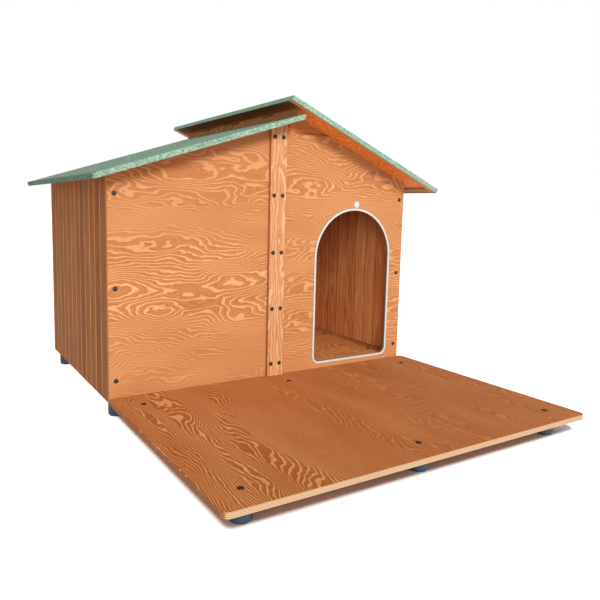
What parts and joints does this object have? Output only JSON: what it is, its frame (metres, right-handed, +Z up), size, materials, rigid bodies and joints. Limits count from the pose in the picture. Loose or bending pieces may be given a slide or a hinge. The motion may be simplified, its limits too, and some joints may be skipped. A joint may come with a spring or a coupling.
{
  "type": "wooden dog kennel",
  "caption": "Wooden dog kennel for a very large dog: arched doorway, tongued and grooved side walls, two-leaf felted roof with an opening right leaf, and a plywood sun deck on rubber feet.",
  "frame": {"origin": "on the ground, at the middle of the whole outline in width and depth", "axes": "+X to the right seen from the doorway side, +Y from the front to the back, +Z up"},
  "size_m": [1.6301, 2.041, 1.2533],
  "materials": {
    "wall_plywood": "satin",
    "floor_plywood": "satin",
    "matchboard": "satin",
    "softwood": "matte",
    "roof_felt": "matte",
    "rubber": "matte",
    "black_steel": "satin",
    "zinc_steel": "satin",
    "white_plastic": "satin"
  },
  "bodies": {
    "kennel": {"deck_panel": "floor_plywood", "deck_feet": "rubber", "deck_bolts": "black_steel", "deck_nuts": "zinc_steel", "kennel_floor": "floor_plywood", "front_floor_bearer": "softwood", "middle_floor_bearer": "softwood", "back_floor_bearer": "softwood", "kennel_feet": "rubber", "kennel_foot_screws": "zinc_steel", "floor_bolts": "black_steel", "floor_nuts": "zinc_steel", "left_wall_boards": "matchboard", "right_wall_boards": "matchboard", "front_left_post": "softwood", "back_left_post": "softwood", "left_top_rail": "softwood", "front_right_post": "softwood", "back_right_post": "softwood", "right_top_rail": "softwood", "front_left_panel": "wall_plywood", "front_right_panel": "wall_plywood", "front_cover_strip": "wall_plywood", "front_joint_batten": "softwood", "back_left_panel": "wall_plywood", "back_right_panel": "wall_plywood", "back_cover_strip": "wall_plywood", "back_joint_batten": "softwood", "front_edge_bolts": "black_steel", "front_strip_bolts": "black_steel", "front_edge_nuts": "zinc_steel", "front_strip_nuts": "zinc_steel", "back_edge_bolts": "black_steel", "back_strip_bolts": "black_steel", "back_edge_nuts": "zinc_steel", "back_strip_nuts": "zinc_steel", "door_edge_trim": "white_plastic", "door_disc": "white_plastic", "left_roof_panel": "wall_plywood", "left_roof_felt": "roof_felt", "front_gable_batten": "softwood", "back_gable_batten": "softwood", "fixed_hinge_screws": "black_steel", "ridge_beam": "softwood", "ridge_board": "wall_plywood", "ridge_rail": "softwood", "front_leaf_rest": "softwood", "back_leaf_rest": "softwood", "fixed_hinge_plates": "black_steel", "hinge_pins": "black_steel"},
    "right_roof_leaf": {"right_roof_panel": "wall_plywood", "right_roof_felt": "roof_felt", "front_leaf_batten": "softwood", "back_leaf_batten": "softwood", "moving_hinge_plates": "black_steel", "moving_hinge_screws": "black_steel", "front_edge_strip": "softwood", "back_edge_strip": "softwood", "eave_edge_strip": "softwood", "ridge_edge_strip": "softwood"}
  },
  "joints": [
    {"name": "right_roof_hinge", "type": "hinge", "parent": "kennel", "child": "right_roof_leaf", "pos_m": [0.0468, 0.4095, 1.2126], "axis": [0, -1, 0], "range_deg": [0, 58]}
  ]
}
